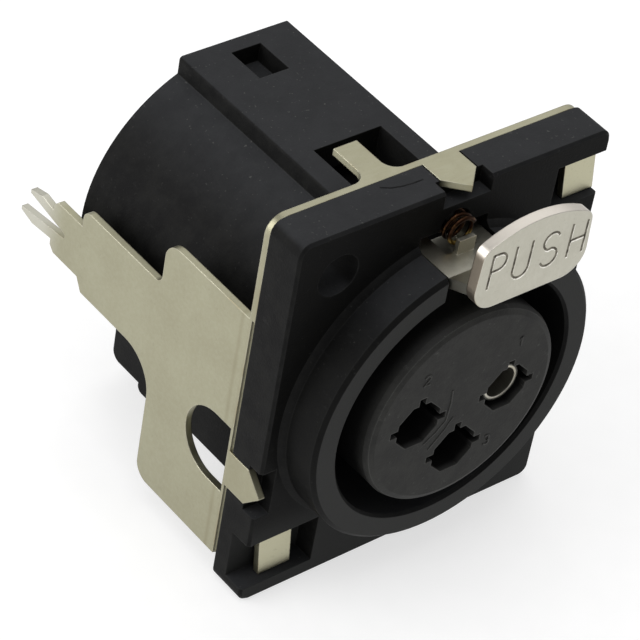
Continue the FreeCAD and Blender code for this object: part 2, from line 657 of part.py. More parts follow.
def add_tabs(body):
    """Two pointed tabs that pass through the flange and bite on the panel's back."""
    half = "tab_width / 2"
    sketch = sketch_on(body, "YZ", "side_tab_outline", "-" + HALF_WIDTH)
    outline(sketch, [
        (PLATE_BACK, "side_tab_height - " + half),
        (PLATE_BACK, "side_tab_height + " + half),
        ("tab_shoulder", "side_tab_height + " + half),
        ("-tab_reach", "side_tab_height"),
        ("tab_shoulder", "side_tab_height - " + half),
    ])
    pad(body, sketch, "side_tab", "sheet_thick")
    sketch = sketch_on(body, "XY", "top_tab_outline", HALF_HEIGHT)
    outline(sketch, [
        ("top_tab_place - " + half, PLATE_BACK),
        ("top_tab_place + " + half, PLATE_BACK),
        ("top_tab_place + " + half, "tab_shoulder"),
        ("top_tab_place", "-tab_reach"),
        ("top_tab_place - " + half, "tab_shoulder"),
    ])
    pad(body, sketch, "top_tab", "sheet_thick", reverse=True)


def add_clinched_feet(body):
    """Two feet bent through the flange and folded down in its corner pockets."""
    back = "(pocket_depth - clinch_gap)"
    front = "(pocket_depth - clinch_gap - sheet_thick)"
    places = (
        ("lower", "(clinch_inset - " + HALF_WIDTH + ")", POCKET_TOP, POCKET_LOW),
        ("upper", "(" + HALF_WIDTH + " - clinch_width)", CORNER_TOP, CORNER_LOW),
    )
    for name, left, room_top, room_low in places:
        top = room_top + " - clinch_clear"
        low = room_low + " + clinch_clear"
        sketch = sketch_on(body, "YZ", name + "_foot_outline", left)
        outline(sketch, [
            (PLATE_BACK, top),
            (front, top),
            (front + " - clinch_lean", low),
            (back + " - clinch_lean", low),
            (back, top + " - sheet_thick"),
            (PLATE_BACK, top + " - sheet_thick"),
        ])
        pad(body, sketch, name + "_foot", "clinch_width")
        sketch = sketch_on(body, "XZ", name + "_foot_blank", "-" + PLATE_FRONT)
        rectangle(sketch, left, left + " + clinch_width", low + " + 2 * sheet_thick", top + " - sheet_thick")
        pocket(body, sketch, name + "_foot_blank_cut", "sheet_thick")
        dress(body, "Fillet", name + "_foot_bend", "bend_round", along("x", y=front, z=top))


def add_tongue(body):
    """A tongue folded back from the plate's top edge over the latch box."""
    left = "tongue_place - tongue_width / 2"
    right = "tongue_place + tongue_width / 2"
    sketch = sketch_on(body, "XY", "tongue_outline", HALF_HEIGHT)
    outline(sketch, [
        (left + " - tongue_root", PLATE_FRONT),
        (right + " + tongue_root", PLATE_FRONT),
        (right + " + tongue_root", PLATE_BACK, "tongue_root", 1),
        (right, PLATE_BACK + " + tongue_root"),
        (right, TONGUE_END),
        (left, TONGUE_END),
        (left, PLATE_BACK + " + tongue_root", "tongue_root", 1),
        (left + " - tongue_root", PLATE_BACK),
    ])
    pad(body, sketch, "tongue", "sheet_thick", reverse=True)


# Latch: push pad, rising arm split round the spring, and a hook that drops into the bore
def make_latch():
    body = new_body("latch")
    add_push_pad(body)
    sketch = sketch_on(body, "YZ", "arm_outline", "-arm_width / 2")
    outline(sketch, [
        (ARM_BACK, ARM_LOW),
        (ARM_BACK, ARM_TOP),
        ("-arm_bend", ARM_TOP),
        (PAD_BACK, ARM_TOP + " + arm_rise"),
        (PAD_BACK, PAD_LOW + " + latch_sheet"),
        ("-pad_front", PAD_LOW + " + latch_sheet"),
        ("-pad_front", ARM_LOW + " + arm_rise + latch_sheet", "latch_sheet", -1),
        (PAD_BACK, ARM_LOW + " + arm_rise"),
        ("-arm_bend", ARM_LOW),
    ])
    pad(body, sketch, "arm", "arm_width")
    for name, left, right in (
            ("left", "-arm_width / 2", "arm_relief - arm_width / 2"),
            ("right", "arm_width / 2 - arm_relief", "arm_width / 2")):
        sketch = sketch_on(body, "XZ", name + "_relief_outline", "pad_front")
        rectangle(sketch, left, right, ARM_LOW, PAD_LOW)
        pocket(body, sketch, name + "_relief", "latch_sheet + relief_depth")
    sketch = sketch_on(body, "YZ", "ear_outline", "-ear_width / 2")
    rectangle(sketch, ARM_BACK + " - ear_length", ARM_BACK, ARM_LOW, ARM_TOP)
    pad(body, sketch, "ears", "ear_width")
    sketch = sketch_on(body, "YZ", "hook_outline", "-hook_width / 2")
    outline(sketch, [
        (ARM_BACK, ARM_LOW),
        (ARM_BACK + " - hook_length - hook_reach", ARM_LOW),
        (ARM_BACK + " - hook_length / 2", "bore_radius - hook_reach"),
        (ARM_BACK, "bore_radius - hook_reach"),
    ])
    pad(body, sketch, "hook", "hook_width")
    sketch = sketch_on(body, "XY", "spring_slot_outline", ARM_TOP)
    rectangle(sketch, "-" + SPRING_ROOM, SPRING_ROOM, "-spring_front - seat_gap", ARM_BACK + " + 1")
    pocket(body, sketch, "spring_slot", "latch_sheet + spring_clear")
    sketch = sketch_on(body, "YZ", "lug_outline", "-lug_width / 2")
    rectangle(sketch, "-spring_front - seat_gap - lug_thick", "-spring_front - seat_gap",
              ARM_LOW, ARM_TOP + " + lug_height")
    pad(body, sketch, "lug", "lug_width")
    return body


def add_push_pad(body):
    """The pad's plate with its arched top and rounded corners."""
    sketch = sketch_on(body, "XZ", "pad_outline", "pad_front")
    side = "pad_width / 2"
    top = "(pad_width / 2 - pad_taper)"
    arch = "((%s * %s + pad_arch ^ 2) / (2 * pad_arch))" % (top, top)
    outline(sketch, [
        ("-" + side, PAD_LOW),
        (side, PAD_LOW),
        (top, PAD_SIDE_TOP, arch, -1),
        ("-" + top, PAD_SIDE_TOP),
    ])
    pad(body, sketch, "push_pad", "latch_sheet", reverse=True)
    for name, sign in (("left", "-"), ("right", "")):
        dress(body, "Fillet", name + "_low_corner", "pad_toe", along("y", x=sign + side, z=PAD_LOW))
        dress(body, "Fillet", name + "_top_corner", "pad_corner", along("y", x=sign + top, z=PAD_SIDE_TOP))


# Latch spring: wire sections joined along a coil between the latch's lug and its hole's closed end
SPRING_STEPS = 36


def make_spring():
    length = "(spring_front + %s - seat_gap - 2 * spring_wire)" % SPRING_BACK
    sections = []
    for step in range(SPRING_STEPS + 1):
        turned = "360 * spring_turns * %d / %d" % (step, SPRING_STEPS)
        section = doc.addObject("Part::RegularPolygon", "spring_section_%d" % step)
        section.Polygon = 6
        bind(section, "Circumradius", "spring_wire")
        section.Placement.Rotation = FreeCAD.Rotation(FreeCAD.Vector(0, 1, 0), -value(turned))
        bind(section, "Placement.Base.x", "spring_radius * cos(%s)" % turned)
        bind(section, "Placement.Base.y", "spring_wire - spring_front + %s * %d / %d" % (length, step, SPRING_STEPS))
        bind(section, "Placement.Base.z", "%s + spring_radius * sin(%s)" % (SPRING_HEIGHT, turned))
        sections.append(section)
    coil = doc.addObject("Part::Loft", "latch_spring")
    coil.Label = "latch_spring"
    coil.Sections = sections
    coil.Solid = True
    coil.Ruled = True
    doc.recompute()
    return coil


# Contact insert: a plug in the bore whose face carries three shaped holes
FIRST_FRONT = "(insert_front - contact_recess)"
OTHER_FRONT = "(insert_front - contact_recess - contact_delay)"
CONTACT_PLACES = {
    "contact_1": ("contact_circle", "0", FIRST_FRONT),
    "contact_2": ("-contact_circle", "0", OTHER_FRONT),
    "contact_3": ("0", "-contact_circle", OTHER_FRONT),
}


def make_insert():
    body = new_body("contact_insert")
    sketch = sketch_on(body, "YZ", "insert_profile")
    outline(sketch, [
        ("-insert_front", "0"),
        (INSERT_BACK, "0"),
        (INSERT_BACK, CAVITY + " - insert_clear"),
        (SEAT_FRONT, CAVITY + " - insert_clear"),
        (SEAT_FRONT, INSERT),
        ("insert_bevel - insert_front", INSERT),
        ("0.3 * insert_bevel - insert_front", INSERT + " - 0.3 * insert_bevel"),
        ("-insert_front", INSERT + " - insert_bevel"),
    ])
    turn(body, "Revolution", sketch, "insert_plug")
    for name, (across, up, front) in CONTACT_PLACES.items():
        cut_contact_hole(body, name, across, up)
    return body


def cut_contact_hole(body, name, across, up):
    """An eight-sided mouth with three narrow spurs, and a round hole behind it."""
    sketch = sketch_on(body, "XZ", name + "_mouth_outline", "insert_front")
    outline(sketch, [
        ("%s + %s * cos(%g)" % (across, MOUTH, angle), "%s + %s * sin(%g)" % (up, MOUTH, angle))
        for angle in (22.5 + 45 * step for step in range(8))
    ])
    pocket(body, sketch, name + "_mouth", "mouth_depth")
    reach = "(%s + spur_reach)" % MOUTH
    sketch = sketch_on(body, "XZ", name + "_side_spurs", "insert_front")
    rectangle(sketch, across + " - " + reach, across + " + " + reach,
              up + " - spur_width / 2", up + " + spur_width / 2")
    pocket(body, sketch, name + "_side_spur_cut", "mouth_depth")
    sketch = sketch_on(body, "XZ", name + "_top_spur", "insert_front")
    rectangle(sketch, across + " - spur_width / 2", across + " + spur_width / 2", up, up + " + " + reach)
    pocket(body, sketch, name + "_top_spur_cut", "mouth_depth")
    sketch = sketch_on(body, "XZ", name + "_hole_outline", "insert_front")
    circle(sketch, across, up, "contact_radius + contact_clear")
    pocket(body, sketch, name + "_hole", "insert_front + " + INSERT_BACK)


# Contacts: a rolled sleeve with a slit, closed at the back by the board tail
def make_contact(name):
    across, up, front = CONTACT_PLACES[name]
    body = new_body(name)
    sketch = sketch_on(body, "XZ", name + "_sleeve_outline", front)
    circle(sketch, across, up, "contact_radius")
    pad(body, sketch, name + "_sleeve", front + " + contact_back", reverse=True)
    sketch = sketch_on(body, "XZ", name + "_socket_outline", front)
    circle(sketch, across, up, "contact_radius - contact_wall")
    pocket(body, sketch, name + "_socket", front + " + contact_back - contact_floor")
    sketch = sketch_on(body, "XZ", name + "_slit_outline", front)
    rectangle(sketch, across + " - contact_slit / 2", across + " + contact_slit / 2",
              up, up + " + contact_radius + 1")
    pocket(body, sketch, name + "_slit", front + " + contact_back - contact_floor - slit_stop")
    sketch = sketch_on(body, "XZ", name + "_tail_outline", "-contact_back")
    rectangle(sketch, across + " - tail_width / 2", across + " + tail_width / 2",
              up + " - tail_thick / 2", up + " + tail_thick / 2")
    pad(body, sketch, name + "_tail", BOARD + " + tail_reach - contact_back", reverse=True)
    return body


# Rear cover: a disc in the barrel's back with a slot for each tail
def make_cover():
    body = new_body("rear_cover")
    sketch = sketch_on(body, "XZ", "cover_outline", "-" + COVER_FRONT)
    circle(sketch, "0", "0", CAVITY + " - cover_clear")
    pad(body, sketch, "cover_disc", "cover_thick", reverse=True)
    for name, (across, up, front) in CONTACT_PLACES.items():
        sketch = sketch_on(body, "XZ", name + "_tail_hole_outline", "-" + COVER_FRONT)
        rectangle(sketch, across + " - tail_width / 2 - tail_clear", across + " + tail_width / 2 + tail_clear",
                  up + " - tail_thick / 2 - tail_clear", up + " + tail_thick / 2 + tail_clear")
        pocket(body, sketch, name + "_tail_hole", "cover_thick")
    return body


pieces = [make_housing(), make_bracket(), make_latch(), make_spring(), make_insert(), make_cover()]
pieces += [make_contact(name) for name in CONTACT_PLACES]
doc.recompute()

for item in doc.Objects:
    if "Invalid" in item.State or "Error" in item.State:
        raise RuntimeError(item.Name + " failed: " + str(item.State))
os.makedirs("parts", exist_ok=True)
for piece in pieces:
    shape = piece.Shape
    if shape.isNull() or not shape.isValid():
        raise RuntimeError(piece.Label + " is not a valid shape")
    shape.exportStep("parts/" + piece.Label + ".step")
    print("%-16s solids %d volume %.3f mm3" % (piece.Label, len(shape.Solids), shape.Volume))
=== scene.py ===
import math

import bmesh
import bpy
from mathutils import Matrix, Vector


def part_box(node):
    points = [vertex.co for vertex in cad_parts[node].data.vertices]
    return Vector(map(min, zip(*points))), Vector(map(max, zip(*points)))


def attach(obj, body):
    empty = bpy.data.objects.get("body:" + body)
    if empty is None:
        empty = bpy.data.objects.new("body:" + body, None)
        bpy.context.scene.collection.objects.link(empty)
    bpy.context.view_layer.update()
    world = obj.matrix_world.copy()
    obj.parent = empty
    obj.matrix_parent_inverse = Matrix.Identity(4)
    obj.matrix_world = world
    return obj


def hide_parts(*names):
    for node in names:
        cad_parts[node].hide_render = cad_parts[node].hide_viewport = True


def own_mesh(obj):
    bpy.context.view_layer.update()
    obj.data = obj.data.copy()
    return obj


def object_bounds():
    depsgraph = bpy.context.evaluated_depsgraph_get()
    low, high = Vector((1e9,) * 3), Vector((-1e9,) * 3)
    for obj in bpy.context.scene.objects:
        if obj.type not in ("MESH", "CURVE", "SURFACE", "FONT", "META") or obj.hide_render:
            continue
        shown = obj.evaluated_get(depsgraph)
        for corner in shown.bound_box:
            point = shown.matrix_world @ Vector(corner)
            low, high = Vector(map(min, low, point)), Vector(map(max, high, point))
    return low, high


# Female three-pole panel connector with a push latch: the looks of its CAD solids, and its small marks
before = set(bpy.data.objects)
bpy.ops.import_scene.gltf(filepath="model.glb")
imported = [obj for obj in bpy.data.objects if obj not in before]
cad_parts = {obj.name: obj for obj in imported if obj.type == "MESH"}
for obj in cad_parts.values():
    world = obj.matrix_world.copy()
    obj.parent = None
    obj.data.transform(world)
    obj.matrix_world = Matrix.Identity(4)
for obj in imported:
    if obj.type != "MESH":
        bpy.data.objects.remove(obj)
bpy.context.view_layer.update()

MM = 0.001

# Places read from the CAD parts' boxes; the front is -Y, and the flange's front face lies at 0
COLLAR_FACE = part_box("housing")[0].y
INSERT_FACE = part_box("contact_insert")[0].y
PAD_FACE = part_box("latch")[0].y
WING_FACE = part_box("ground_bracket")[0].x
FORK_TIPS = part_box("ground_bracket")[1].y
# The flange reaches as far up as it does down
FLANGE_TOP = -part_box("housing")[0].z

# Places on single pieces where their colour changes
PAD_BACK = PAD_FACE + 1.0 * MM
FORK_TINNED = FORK_TIPS - 5.0 * MM
DIE_MARK = 4.2 * MM
CONTACT_CIRCLE = 3.81 * MM
SLEEVE_BACK = 12.0 * MM
LIP_INSIDE = 1.24 * MM
LIP_OUTSIDE = 1.33 * MM

BEVEL_SAMPLES = 6

# How well the softened normal agrees with the true one on a face and along an edge
FACE_AGREES = 0.995
EDGE_AGREES = 0.9


# Shader maths written as plain Python expressions
class Value:
    """An output socket that can be added, multiplied and so on; each step adds a Math node."""

    def __init__(self, shade, socket):
        self.shade = shade
        self.socket = socket

    def __add__(self, other):
        return self.shade.math("ADD", self, other)

    def __radd__(self, other):
        return self.shade.math("ADD", other, self)

    def __sub__(self, other):
        return self.shade.math("SUBTRACT", self, other)

    def __rsub__(self, other):
        return self.shade.math("SUBTRACT", other, self)

    def __mul__(self, other):
        return self.shade.math("MULTIPLY", self, other)

    def __rmul__(self, other):
        return self.shade.math("MULTIPLY", other, self)

    def clamped(self):
        return self.shade.math("ADD", self, 0.0, clamp=True)


class Shade:
    """A material and the ways this script adds nodes to it."""

    def __init__(self, name):
        self.material = bpy.data.materials.new(name)
        self.material.use_nodes = True
        self.tree = self.material.node_tree
        self.tree.nodes.clear()
        self.place = self.node("TexCoord", output="Object")

    def node(self, kind, settings=None, inputs=None, output=0):
        """Adds a node: first its settings, then a number or a link for each input."""
        made = self.tree.nodes.new("ShaderNode" + kind)
        for name, setting in (settings or {}).items():
            setattr(made, name, setting)
        for key, given in (inputs or {}).items():
            if isinstance(given, Value):
                self.tree.links.new(given.socket, made.inputs[key])
            else:
                made.inputs[key].default_value = given
        return Value(self, made.outputs[output]) if made.outputs else None

    def math(self, operation, *terms, clamp=False):
        return self.node("Math", {"operation": operation, "use_clamp": clamp}, dict(enumerate(terms)))

    def vector_math(self, operation, *terms, output=0):
        return self.node("VectorMath", {"operation": operation}, dict(enumerate(terms)), output)

    def mix(self, factor, first, second):
        """Mixes two colours; each is a link or three numbers."""
        colors = [given if isinstance(given, Value) else (*given, 1.0) for given in (first, second)]
        return self.node("Mix", {"data_type": "RGBA"}, {0: factor, 6: colors[0], 7: colors[1]}, output=2)

    def ramp(self, value, low, high):
        """Runs smoothly from 0 to 1 while the value runs from low to high."""
        return self.node("MapRange", {"interpolation_type": "SMOOTHSTEP"},
                         {"Value": value, "From Min": low, "From Max": high})

    def noise(self, size, detail, roughness=0.5, stretch=None):
        """Noise whose patches are about size metres across."""
        place = self.place
        if stretch:
            place = self.node("Mapping", inputs={"Vector": place, "Scale": stretch})
        return self.node("TexNoise", inputs={
            "Vector": place, "Scale": 1 / size, "Detail": detail, "Roughness": roughness})

    def softened(self, radius):
        """The normal as if every edge were rounded by the radius."""
        return self.node("Bevel", {"samples": BEVEL_SAMPLES}, {"Radius": radius})

    def edges(self, radius):
        """1 along the part's edges and 0 on its faces."""
        true = self.node("NewGeometry", output="Normal")
        agreement = self.vector_math("DOT_PRODUCT", self.softened(radius), true, output="Value")
        return self.ramp(agreement, FACE_AGREES, EDGE_AGREES)

    def part(self, way):
        """The place on the part along X, Y or Z, in metres."""
        return self.node("SeparateXYZ", inputs={0: self.place}, output=way)

    def from_axis(self, x=0.0, z=0.0):
        """The distance from a line along Y: the part's own axis, or the one through x and z."""
        beside = self.vector_math("SUBTRACT", self.place, (x, 0.0, z))
        across = self.vector_math("MULTIPLY", beside, (1.0, 0.0, 1.0))
        return self.vector_math("LENGTH", across, output="Value")

    def facing(self, way):
        """How far the surface looks along X, Y or Z, from -1 to 1."""
        return self.node("SeparateXYZ", inputs={0: self.node("NewGeometry", output="Normal")}, output=way)

    def looking_up(self):
        """1 on what looks up: where dust settles, and where the tops are painted lighter as if lit from
        above.
        """
        return self.ramp(self.facing("Z"), 0.55, 0.95)

    def finish(self, color, roughness, grain, grain_depth, soften=None, **rest):
        """The Principled shader with a fine grain and, where soften is given, softened edges."""
        bump = {"Height": grain, "Distance": grain_depth}
        if soften:
            bump["Normal"] = self.softened(soften)
        shader = self.node("BsdfPrincipled", inputs={
            "Base Color": color, "Roughness": roughness, "Normal": self.node("Bump", inputs=bump),
            **{name.replace("_", " "): given for name, given in rest.items()}})
        self.node("OutputMaterial", inputs={"Surface": shader})
        return self.material


# Colours of marks and wear, and of painted light and shade
SPECK = (0.13, 0.13, 0.12)
# Painted shade in the insert's holes and on its side
HOLE_SHADE = (0.006, 0.006, 0.006)
# Painted shade on the housing's front, the painted sheen of its collar face, and the lighter painted shade
# at the flange's foot
SHADED_FRONT = (0.0055, 0.0055, 0.0053)
COLLAR_SHEEN = (0.041, 0.0415, 0.0405)
FRONT_SHADE_LOW = (0.024, 0.0245, 0.024)
BARE_EDGE = (0.3, 0.23, 0.12)
PIT_GREY = (0.2, 0.19, 0.14)
# Painted light on the bracket's forward faces
FRONT_LIGHT_TIN = (0.52, 0.5, 0.355)
# Die mark, and painted shade near the wing's fold
FOLD_MARK_AND_SHADE = (0.25, 0.225, 0.14)
TIN_WHITE = (0.6, 0.59, 0.53)
# Painted light on the pad rim's upper side, and painted shade on its sides
RIM_TOP_LIGHT = (0.63, 0.59, 0.53)
RIM_SIDE_SHADE = (0.25, 0.215, 0.17)
# Painted shade on the outside of the sleeve's lip, and inside its tube
LIP_OUTER_SHADE = (0.09, 0.088, 0.08)
TUBE_SHADE = (0.17, 0.165, 0.14)
# Spring wire painted dark as shade, and its painted glint
WIRE_SHADED = (0.035, 0.016, 0.009)
WIRE_STREAK_SHADED = (0.11, 0.055, 0.022)
WIRE_GLINT = (0.8, 0.56, 0.15)
FLOOR_GREY = (0.4, 0.4, 0.4)
FLOOR_FLECK = (0.42, 0.42, 0.42)

# The broad noise of rolled sheet, which some of its marks follow
SHEET_CLOUD = {"size": 3.5 * MM, "detail": 6.0, "roughness": 0.6}


# Finishes
def moulded_black(name, dark, light, worn, dust_and_top_light, rough, gloss, under=None, over=None):
    """Fine-grained black moulding with greyer edges, faint scuffs, and on what looks up both dust and
    painted top light.

    Two functions can add the piece's own tones and its painted light and shade: under lies below the
    scuffs, and over lies on top."""
    shade = Shade(name)
    grain = shade.noise(0.16 * MM, detail=2.0)
    cloud = shade.noise(1.6 * MM, detail=6.0, roughness=0.7)
    scuff = shade.noise(0.6 * MM, detail=5.0, roughness=0.75, stretch=(1.0, 0.35, 1.0))
    speck = shade.noise(0.22 * MM, detail=1.0)
    up = shade.looking_up()
    color = shade.mix(shade.ramp(cloud, 0.35, 0.65), dark, light)
    # Up-facing faces turn lighter: partly dust, partly painted light as if lit from above
    color = shade.mix(up * (0.75 + 0.5 * (cloud - 0.5)), color, dust_and_top_light)
    if under:
        color = under(shade, color)
    color = shade.mix(shade.ramp(scuff, 0.6, 0.75) * 0.3, color, worn)
    color = shade.mix(shade.ramp(speck, 0.7, 0.79) * (0.08 + 0.3 * up), color, SPECK)
    color = shade.mix(shade.edges(0.15 * MM) * 0.35, color, worn)
    if over:
        color = over(shade, color)
    roughness = (rough + 0.16 * (cloud - 0.5) + 0.12 * (grain - 0.5)).clamped()
    return shade.finish(color, roughness, grain, grain_depth=0.016 * MM, soften=0.1 * MM,
                        Specular_IOR_Level=gloss)


def rolled_sheet(name, base, stain, bright, rough, grain_way, under=None, over=None):
    """Rolled and stamped sheet: a fine grain, faint stains and lighter sheared edges.

    Two functions can add the piece's own tones and its painted light and shade: under lies below the
    stains, and over lies on top."""
    shade = Shade(name)
    grain = shade.noise(0.3 * MM, detail=4.0, roughness=0.7, stretch=grain_way)
    cloud = shade.noise(**SHEET_CLOUD)
    blotch = shade.noise(0.9 * MM, detail=4.0, roughness=0.65)
    pit = shade.noise(0.17 * MM, detail=2.0)
    edge = shade.edges(0.12 * MM)
    color = shade.mix(shade.ramp(cloud, 0.3, 0.7) * 0.6, base, stain)
    if under:
        color = under(shade, color)
    color = shade.mix(shade.ramp(blotch, 0.62, 0.72) * 0.3, color, stain)
    color = shade.mix(shade.ramp(pit, 0.62, 0.74) * 0.2, color, PIT_GREY)
    color = shade.mix(shade.ramp(grain, 0.4, 0.65) * 0.1, color, bright)
    color = shade.mix(edge * 0.45, color, bright)
    color = shade.mix(edge * shade.ramp(cloud, 0.5, 0.6) * 0.6, color, BARE_EDGE)
    if over:
        color = over(shade, color)
    roughness = (rough + 0.1 * (cloud - 0.5) + 0.14 * (grain - 0.5) - 0.06 * edge).clamped()
    return shade.finish(color, roughness, grain, grain_depth=0.005 * MM, soften=0.1 * MM, Metallic=1.0)


def drawn_wire(name):
    """Brown spring wire, painted dark in streaks as the shade it sits in, with a painted glint low on its
    front end.
    """
    shade = Shade(name)
    streak = shade.noise(0.25 * MM, detail=3.0)
    front_end = shade.ramp(shade.part("Y"), -0.4 * MM, -0.9 * MM)
    low_side = shade.ramp(shade.part("Z"), 12.3 * MM, 11.8 * MM)
    color = shade.mix(shade.ramp(streak, 0.5, 0.72), WIRE_SHADED, WIRE_STREAK_SHADED)
    # Painted glint low on the wire's front end
    color = shade.mix(front_end * low_side, color, WIRE_GLINT)
    return shade.finish(color, 0.34 + 0.2 * (streak - 0.5), streak, grain_depth=0.004 * MM, Metallic=1.0)


def thin_mark(name, dark, light):
    """A narrow mark, uneven as the tool left it: the painted shade or the painted highlight along a wall of
    a pressed letter, or a crease.
    """
    shade = Shade(name)
    grain = shade.noise(0.35 * MM, detail=4.0)
    color = shade.mix(shade.ramp(grain, 0.38, 0.62), dark, light)
    return shade.finish(color, 0.5 + 0.2 * (grain - 0.5), grain, grain_depth=0.004 * MM, Metallic=1.0)


def pale_floor(name):
    """A white table lit from below, so that shadows on it stay faint."""
    shade = Shade(name)
    fleck = shade.noise(2.0 * MM, detail=6.0)
    color = shade.mix(shade.ramp(fleck, 0.3, 0.7), FLOOR_GREY, FLOOR_FLECK)
    return shade.finish(color, 0.75 + 0.1 * (fleck - 0.5), fleck, grain_depth=0.004 * MM,
                        Emission_Color=(1.0, 1.0, 1.0, 1.0), Emission_Strength=0.65)


# Tones of single pieces, with their painted light and shade
def collar_and_foot(shade, color):
    """The housing's front is painted near black as shade, lighter towards the flange's foot, with a painted
    sheen on the collar face; the collar's sides get the same painted shade.
    """
    depth = shade.part("Y")
    front = shade.ramp(shade.facing("Y"), -0.8, -0.95)
    collar = shade.ramp(depth, COLLAR_FACE + 0.4 * MM, COLLAR_FACE + 0.2 * MM)
    foot = shade.ramp(shade.part("Z"), -7.5 * MM, -10.5 * MM)
    flange = shade.mix(foot, SHADED_FRONT, FRONT_SHADE_LOW)
    # Painted shade on the front faces, lighter at the foot, with a painted sheen on the collar face
    color = shade.mix(front * 0.8, color, shade.mix(collar, flange, COLLAR_SHEEN))
    # Painted shade on the collar's sides
    side = shade.ramp(depth, -0.1 * MM, -0.4 * MM) * (1 - front) * (1 - shade.looking_up())
    return shade.mix(side * 0.7, color, SHADED_FRONT)


def insert_sides(shade, color):
    """Painted shade, near black, on the sides of the insert's holes and on the insert's own side behind its
    face.
    """
    depth = shade.part("Y")
    radius = shade.from_axis()
    holes = shade.ramp(radius, 7.4 * MM, 7.1 * MM)
    holes_deep = shade.ramp(depth, INSERT_FACE + 0.05 * MM, INSERT_FACE + 0.6 * MM)
    color = shade.mix(holes * holes_deep, color, HOLE_SHADE)
    outside = shade.ramp(radius, 7.65 * MM, 7.8 * MM)
    outside_deep = shade.ramp(depth, INSERT_FACE + 0.15 * MM, INSERT_FACE + 1.6 * MM)
    return shade.mix(outside * outside_deep, color, HOLE_SHADE)


def front_painted_light(shade, color):
    """The bracket's faces that look forward, such as its two feet, are painted lighter: painted light that
    makes up for the shade of the recesses around them.
    """
    return shade.mix(shade.ramp(shade.facing("Y"), -0.6, -0.9) * 0.9, color, FRONT_LIGHT_TIN)


def wing_and_fork(shade, color):
    """A die mark runs beside the wing's fold, with painted shade where the wing nears the fold, and the
    tips of its board fork are tinned.
    """
    depth = shade.part("Y")
    reach = 0.3 * MM
    mark = shade.ramp(depth, DIE_MARK - reach, DIE_MARK) * shade.ramp(depth, DIE_MARK + reach, DIE_MARK)
    # Painted shade darkening the wing towards its fold
    fold = shade.ramp(depth, 3.8 * MM, 3.1 * MM)
    marked_and_shaded = (0.45 * mark + 0.3 * fold) * (0.4 + shade.noise(**SHEET_CLOUD))
    wing = shade.ramp(shade.part("X"), WING_FACE + 0.8 * MM, WING_FACE + 0.6 * MM)
    color = shade.mix(marked_and_shaded * wing, color, FOLD_MARK_AND_SHADE)
    return shade.mix(shade.ramp(depth, FORK_TINNED, FORK_TINNED + 3.0 * MM) * 0.7, color, TIN_WHITE)


def pad_rim(shade, color):
    """The pad's cut rim gets painted light where it looks up and painted shade at its sides."""
    pad = shade.ramp(shade.part("Y"), PAD_BACK, PAD_BACK - 0.2 * MM)
    cut = shade.ramp(shade.facing("Y"), -0.75, -0.45)
    rim = shade.mix(shade.ramp(shade.facing("Z"), 0.1, 0.6), RIM_SIDE_SHADE, RIM_TOP_LIGHT)
    return shade.mix(pad * cut, color, rim)


def sleeve_tones(x, z):
    """Gives the tones of the contact at x and z: painted shade on its sleeve's rim outside the lip, and
    painted shade inside its tube.
    """
    def tones(shade, color):
        radius = shade.from_axis(x, z)
        sleeve = shade.ramp(shade.part("Y"), SLEEVE_BACK - 0.2 * MM, SLEEVE_BACK - 0.8 * MM)
        outside = shade.ramp(radius, LIP_OUTSIDE, LIP_OUTSIDE + 0.07 * MM)
        tube = shade.ramp(radius, LIP_INSIDE, LIP_INSIDE - 0.06 * MM)
        # Painted shade outside the lip and inside the tube
        color = shade.mix(sleeve * outside * 0.95, color, LIP_OUTER_SHADE)
        return shade.mix(sleeve * tube, color, TUBE_SHADE)
    return tones


housing_black = moulded_black(
    "housing_moulding", dark=(0.0075, 0.0075, 0.0076), light=(0.0118, 0.0118, 0.0114),
    worn=(0.04, 0.04, 0.039), dust_and_top_light=(0.036, 0.037, 0.0395), rough=0.5, gloss=0.035, under=collar_and_foot)
insert_black = moulded_black(
    "insert_moulding", dark=(0.024, 0.024, 0.023), light=(0.034, 0.034, 0.032),
    worn=(0.16, 0.16, 0.15), dust_and_top_light=(0.042, 0.042, 0.042), rough=0.55, gloss=0.08, over=insert_sides)
bracket_tin = rolled_sheet(
    "bracket_tin", base=(0.355, 0.342, 0.24), stain=(0.315, 0.298, 0.205), bright=(0.58, 0.56, 0.46),
    rough=0.42, grain_way=(0.25, 1.0, 1.0), under=front_painted_light, over=wing_and_fork)
latch_nickel = rolled_sheet(
    "latch_nickel", base=(0.49, 0.475, 0.4), stain=(0.44, 0.425, 0.355), bright=(0.72, 0.7, 0.64),
    rough=0.38, grain_way=(1.0, 1.0, 0.5), over=pad_rim)
spring_brown = drawn_wire("spring_wire")
crease_black = thin_mark("crease_black", dark=(0.004, 0.004, 0.004), light=(0.012, 0.012, 0.012))
letter_shadow = thin_mark("letter_shadow", dark=(0.07, 0.06, 0.045), light=(0.2, 0.185, 0.145))
letter_glint = thin_mark("letter_glint", dark=(0.62, 0.6, 0.52), light=(0.9, 0.88, 0.82))

SLEEVE_AXES = {
    "contact_1": (CONTACT_CIRCLE, 0.0),
    "contact_2": (-CONTACT_CIRCLE, 0.0),
    "contact_3": (0.0, -CONTACT_CIRCLE),
}
contact_tins = {
    contact: rolled_sheet(
        contact + "_tin", base=(0.6, 0.58, 0.5), stain=(0.5, 0.47, 0.38), bright=(0.85, 0.83, 0.78),
        rough=0.5, grain_way=(1.0, 0.3, 1.0), over=sleeve_tones(*axis))
    for contact, axis in SLEEVE_AXES.items()}

finishes = {
    "housing": housing_black,
    "rear_cover": housing_black,
    "contact_insert": insert_black,
    "ground_bracket": bracket_tin,
    "latch": latch_nickel,
    "latch_spring": spring_brown,
    **contact_tins,
}
for name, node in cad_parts.items():
    node.data.materials.clear()
    node.data.materials.append(finishes[name])


